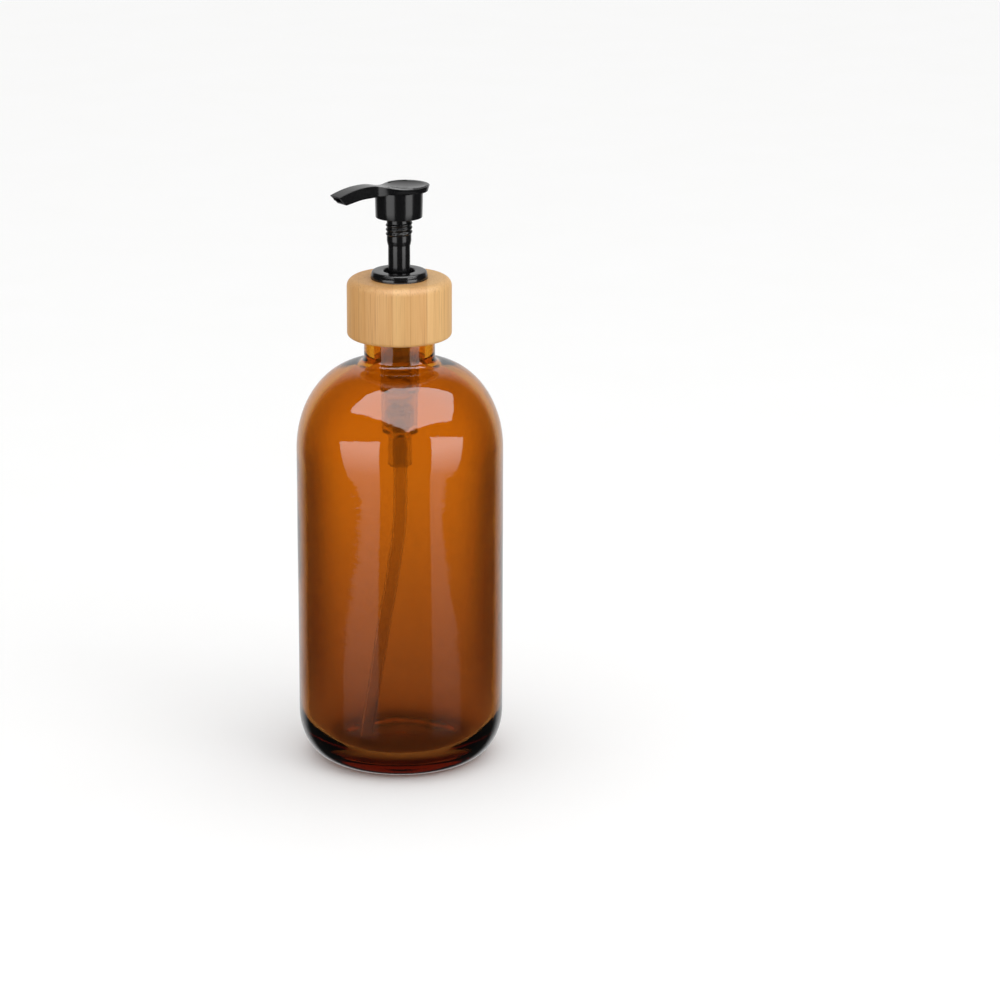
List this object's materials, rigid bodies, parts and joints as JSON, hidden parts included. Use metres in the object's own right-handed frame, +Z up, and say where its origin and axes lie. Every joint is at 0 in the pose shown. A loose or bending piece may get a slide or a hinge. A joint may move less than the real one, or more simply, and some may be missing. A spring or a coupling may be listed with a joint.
{
  "type": "soap pump dispenser",
  "caption": "Refillable liquid soap dispenser: round-shouldered amber glass bottle with a bamboo-clad screw closure and a press-down lotion pump.",
  "frame": {"origin": "centre of the bottle's base, on its axis", "axes": "+Z up along the bottle's and the pump's axis, the spout pointing along -X at rest"},
  "size_m": [0.075, 0.075, 0.2154],
  "materials": {
    "amber_glass": "glossy blown glass",
    "bamboo": "sanded, clear lacquer",
    "black_polypropylene": "glossy moulded",
    "natural_polypropylene": "moulded, natural",
    "clear_polyethylene": "extruded, translucent",
    "foam": "closed-cell foam",
    "stainless_steel": "drawn wire and polished ball"
  },
  "bodies": {
    "bottle": {"bottle": "amber_glass"},
    "pump_body": {"pump_housing": "natural_polypropylene", "locking_collar": "black_polypropylene", "neck_gasket": "foam", "dip_tube": "clear_polyethylene", "ball_retainer": "natural_polypropylene", "return_spring": "stainless_steel"},
    "closure": {"threaded_closure": "black_polypropylene", "bamboo_cap": "bamboo"},
    "piston": {"piston": "natural_polypropylene"},
    "piston_rod": {"piston_rod": "natural_polypropylene"},
    "head": {"actuator": "black_polypropylene", "stem": "black_polypropylene"},
    "inlet_ball": {"inlet_ball": "stainless_steel"}
  },
  "joints": [
    {"name": "pump_rise", "type": "slide", "parent": "bottle", "child": "pump_body", "axis": [0, 0, 1], "range_m": [0, 0.00529]},
    {"name": "cap_turn", "type": "hinge", "parent": "pump_body", "child": "closure", "pos_m": [0, 0, 0.165], "axis": [0, 0, 1], "range_deg": [0, 450]},
    {"name": "pump_stroke", "type": "slide", "parent": "pump_body", "child": "piston", "axis": [0, 0, -1], "range_m": [0, 0.0118], "stiffness_N_per_m": 500, "springref_m": -0.01, "deforming": ["return_spring"]},
    {"name": "outlet_valve", "type": "slide", "parent": "piston", "child": "piston_rod", "axis": [0, 0, -1], "range_m": [0, 0.001], "stiffness_N_per_m": 500, "springref_m": -0.01},
    {"name": "head_turn", "type": "hinge", "parent": "piston_rod", "child": "head", "pos_m": [0, 0, 0.2], "axis": [0, 0, 1], "continuous": true},
    {"name": "inlet_valve", "type": "slide", "parent": "pump_body", "child": "inlet_ball", "axis": [0, 0, 1], "range_m": [0, 0.0015]}
  ],
  "couplings": [
    {"joint": "cap_turn", "follows": "pump_rise", "rad_per_m": 1484.2}
  ]
}
